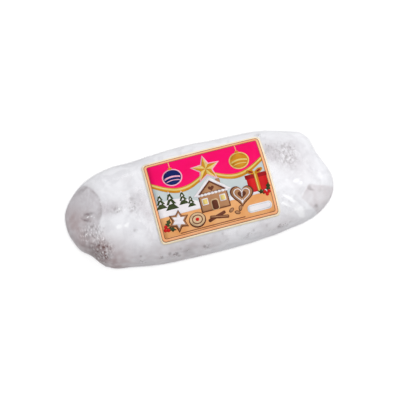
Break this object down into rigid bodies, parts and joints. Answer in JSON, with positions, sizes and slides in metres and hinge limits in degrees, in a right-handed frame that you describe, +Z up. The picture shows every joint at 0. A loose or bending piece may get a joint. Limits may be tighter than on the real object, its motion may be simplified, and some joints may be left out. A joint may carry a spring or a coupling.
{
  "type": "wrapped stollen",
  "caption": "Oval fruit loaf dusted with icing sugar, sealed in tight clear film, with a printed paper label on its crown; holiday food that lies on its flat base.",
  "frame": {"origin": "centre of the loaf's footprint, on the surface it rests on", "axes": "+X along the loaf towards its slanted end, +Y towards its back, +Z up through the label"},
  "size_m": [0.232, 0.0966, 0.0529],
  "materials": {
    "sugared_loaf": "thick icing sugar over brown crust, under tight glossy clear film with small creases",
    "clear_film": "thin glossy clear wrapping film, finely creased and stretched over the loaf",
    "label_print": "coated paper printed in magenta, gold, peach and cream, with a dark line round its edge"
  },
  "bodies": {
    "root": {"wrapped_loaf": "sugared_loaf", "label": "label_print"}
  },
  "joints": []
}
